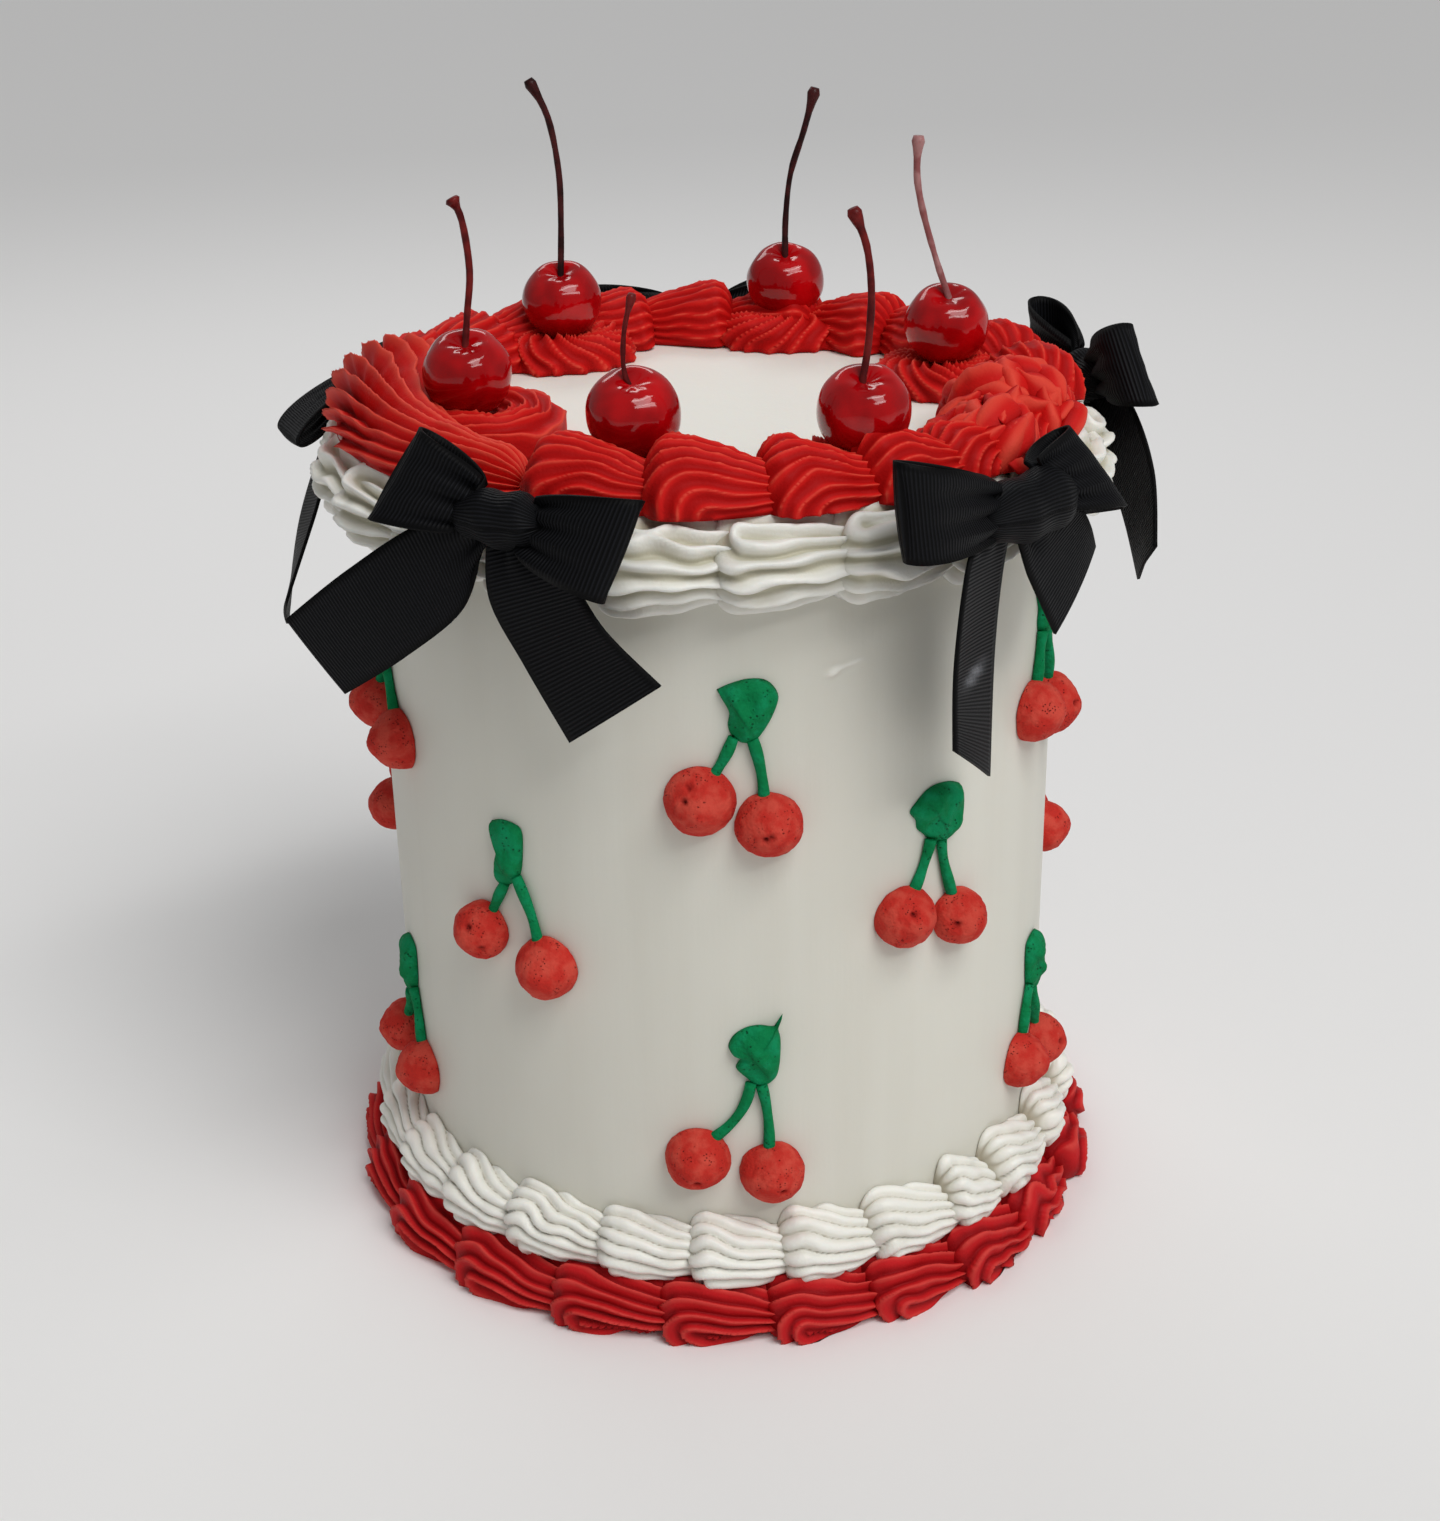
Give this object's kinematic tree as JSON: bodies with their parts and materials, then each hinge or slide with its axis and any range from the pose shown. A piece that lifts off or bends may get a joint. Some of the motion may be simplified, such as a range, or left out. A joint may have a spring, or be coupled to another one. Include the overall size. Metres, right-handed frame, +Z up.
{
  "type": "cherry celebration cake",
  "caption": "Tall round iced cake with piped shell borders, piped cherry motifs on its side, stemmed cherries round the top and ribbon bows below the rim.",
  "frame": {"origin": "centre of the cake's flat underside", "axes": "+Z up along the cake's axis, -Y towards the front that the picture shows, +X to the right seen from the front"},
  "size_m": [0.2145, 0.2088, 0.2681],
  "materials": {
    "white_icing": "satin buttercream, warm white",
    "red_icing": "soft sheen buttercream, bright red",
    "cherry_red": "wet glossy fruit, deep red",
    "ball_red": "matt porous buttercream, light red",
    "leaf_green": "matt porous buttercream, green",
    "black_ribbon": "ribbed woven ribbon, black"
  },
  "bodies": {
    "root": {"base_red_border": "red_icing", "base_white_border": "white_icing", "bow_back": "black_ribbon", "bow_front_left": "black_ribbon", "bow_front_right": "black_ribbon", "bow_side_left": "black_ribbon", "bow_side_right": "black_ribbon", "cake_body": "white_icing", "cherry_back": "cherry_red", "cherry_back_left": "cherry_red", "cherry_front": "cherry_red", "cherry_front_left": "cherry_red", "cherry_front_right": "cherry_red", "cherry_right": "cherry_red", "motif_back_left_high_ball_left": "ball_red", "motif_back_left_high_ball_right": "ball_red", "motif_back_left_high_leaf": "leaf_green", "motif_back_left_low_ball_left": "ball_red", "motif_back_left_low_ball_right": "ball_red", "motif_back_left_low_leaf": "leaf_green", "motif_back_middle_ball_left": "ball_red", "motif_back_middle_ball_right": "ball_red", "motif_back_middle_leaf": "leaf_green", "motif_back_right_high_ball_left": "ball_red", "motif_back_right_high_ball_right": "ball_red", "motif_back_right_high_leaf": "leaf_green", "motif_back_right_low_ball_left": "ball_red", "motif_back_right_low_ball_right": "ball_red", "motif_back_right_low_leaf": "leaf_green", "motif_front_high_ball_left": "ball_red", "motif_front_high_ball_right": "ball_red", "motif_front_high_leaf": "leaf_green", "motif_front_low_ball_left": "ball_red", "motif_front_low_ball_right": "ball_red", "motif_front_low_leaf": "leaf_green", "motif_left_high_ball_left": "ball_red", "motif_left_high_ball_right": "ball_red", "motif_left_high_leaf": "leaf_green", "motif_left_low_ball_left": "ball_red", "motif_left_low_ball_right": "ball_red", "motif_left_low_leaf": "leaf_green", "motif_left_middle_ball_left": "ball_red", "motif_left_middle_ball_right": "ball_red", "motif_left_middle_leaf": "leaf_green", "motif_right_high_balls": "ball_red", "motif_right_high_leaf": "leaf_green", "motif_right_low_ball_left": "ball_red", "motif_right_low_ball_right": "ball_red", "motif_right_low_leaf": "leaf_green", "motif_right_middle_ball_left": "ball_red", "motif_right_middle_ball_right": "ball_red", "motif_right_middle_leaf": "leaf_green", "motif_side_left_ball_left": "ball_red", "motif_side_left_ball_right": "ball_red", "motif_side_left_leaf": "leaf_green", "motif_side_right_ball_left": "ball_red", "motif_side_right_ball_right": "ball_red", "motif_side_right_leaf": "leaf_green", "top_red_border": "red_icing", "top_white_border": "white_icing"}
  },
  "joints": []
}
